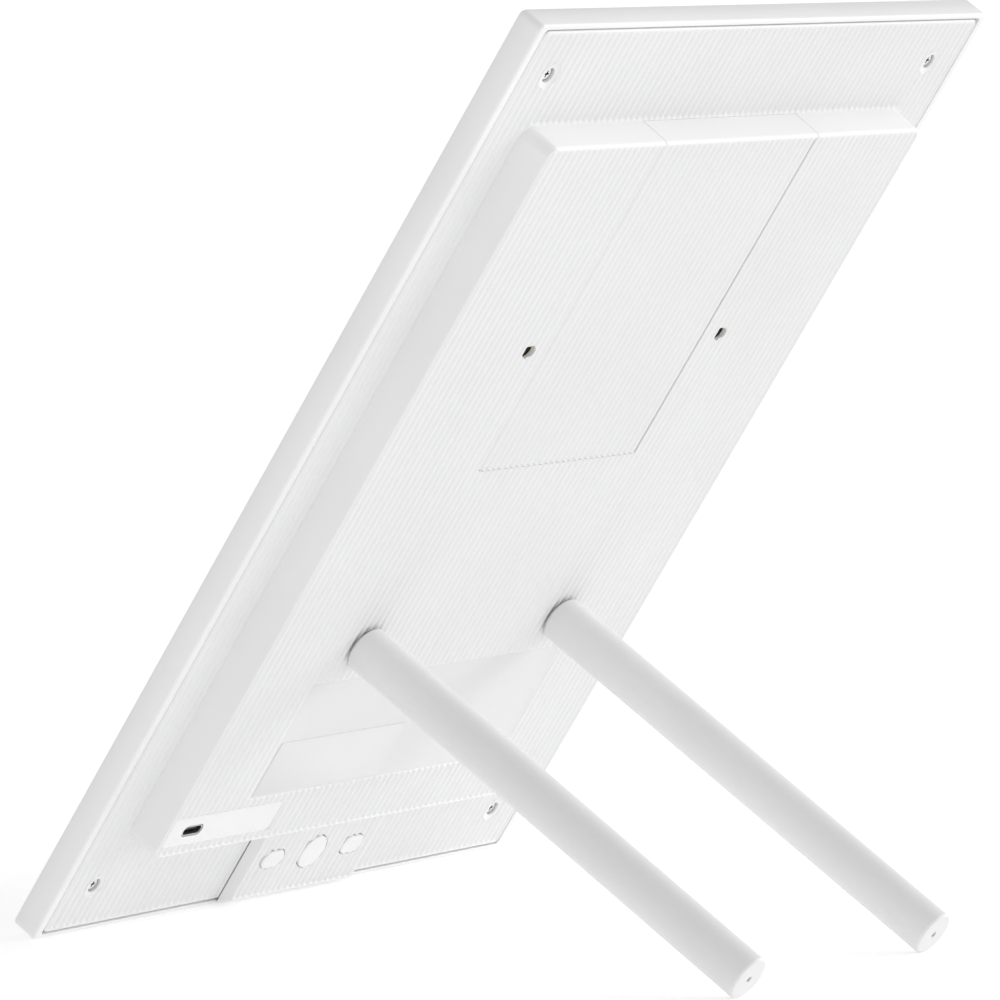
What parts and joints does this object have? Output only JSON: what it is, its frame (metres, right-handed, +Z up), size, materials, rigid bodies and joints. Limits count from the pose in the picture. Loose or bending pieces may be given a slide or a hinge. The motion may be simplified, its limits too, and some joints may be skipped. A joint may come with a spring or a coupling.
{
  "type": "digital photo frame",
  "caption": "Slim portrait digital photo frame with a ribbed back, raised battery and electronics bump, three rear buttons and two screw-in cylindrical legs that prop it leaning back.",
  "frame": {"origin": "on the table plane, in the middle of the footprint's bounding box", "axes": "+Z up, the picture faces -Y and leans back, +Y towards the legs, +X to the side of the charging port"},
  "size_m": [0.236, 0.1996, 0.2647],
  "materials": {
    "white_rim": "fine satin",
    "white_cover": "satin, moulded with fine straight ribs",
    "white_leg": "smooth satin",
    "white_mat": "matt card",
    "clear_film": "clear, lightly anti-glare",
    "paper_display": "matt grey-white display surface",
    "zinc_sheet": "zinc-plated sheet",
    "nickel": "nickel-plated",
    "brass": "turned",
    "blank_label": "blank sticker",
    "grey_plastic": "moulded",
    "cell_wrap": "shrink wrap",
    "circuit_board": "solder mask",
    "amber_flex": "polyimide film",
    "black_plastic": "moulded",
    "lead_sleeve": "sleeved lead"
  },
  "bodies": {
    "panel": {"outer_rim": "white_rim", "front_film": "clear_film", "front_mat": "white_mat", "display_panel": "paper_display", "display_backplate": "zinc_sheet", "rear_cover": "white_cover", "button_housing": "white_cover", "rating_label": "blank_label", "service_label": "blank_label", "usb_port_shell": "nickel", "usb_port_tongue": "black_plastic", "battery_tray": "grey_plastic", "battery_cell_left": "cell_wrap", "battery_cell_right": "cell_wrap", "battery_board": "circuit_board", "battery_lead": "lead_sleeve", "battery_plug": "black_plastic", "main_board": "circuit_board", "processor_shield": "zinc_sheet", "wireless_module": "nickel", "driver_board": "circuit_board", "display_flex": "amber_flex", "board_link_flex": "amber_flex", "button_board": "circuit_board", "button_flex": "amber_flex", "switch_left": "black_plastic", "switch_centre": "black_plastic", "switch_right": "black_plastic", "cover_screw_upper_left": "nickel", "press_nut_upper_left": "nickel", "leg_insert_upper_left": "brass", "cover_screw_upper_right": "nickel", "press_nut_upper_right": "nickel", "leg_insert_upper_right": "brass", "cover_screw_lower_left": "nickel", "press_nut_lower_left": "nickel", "leg_insert_lower_left": "brass", "cover_screw_lower_right": "nickel", "press_nut_lower_right": "nickel", "leg_insert_lower_right": "brass"},
    "battery_door": {"battery_door": "white_cover"},
    "button_left": {"button_left": "white_cover"},
    "button_centre": {"button_centre": "white_cover"},
    "button_right": {"button_right": "white_cover"},
    "leg_left": {"leg_left": "white_leg", "leg_stud_left": "nickel"},
    "leg_right": {"leg_right": "white_leg", "leg_stud_right": "nickel"}
  },
  "joints": [
    {"name": "battery_door_lift", "type": "slide", "parent": "panel", "child": "battery_door", "axis": [0, 0.8601, -0.51], "range_m": [0, 0.03]},
    {"name": "button_left_press", "type": "slide", "parent": "panel", "child": "button_left", "axis": [0, -0.8601, 0.51], "range_m": [0, 0.0006], "stiffness_N_per_m": 1200, "springref_m": -0.0005},
    {"name": "button_centre_press", "type": "slide", "parent": "panel", "child": "button_centre", "axis": [0, -0.8601, 0.51], "range_m": [0, 0.0006], "stiffness_N_per_m": 1200, "springref_m": -0.0005},
    {"name": "button_right_press", "type": "slide", "parent": "panel", "child": "button_right", "axis": [0, -0.8601, 0.51], "range_m": [0, 0.0006], "stiffness_N_per_m": 1200, "springref_m": -0.0005},
    {"name": "leg_left_removal", "type": "slide", "parent": "panel", "child": "leg_left", "axis": [0, 0.8601, -0.51], "range_m": [0, 0.02]},
    {"name": "leg_right_removal", "type": "slide", "parent": "panel", "child": "leg_right", "axis": [0, 0.8601, -0.51], "range_m": [0, 0.02]}
  ]
}
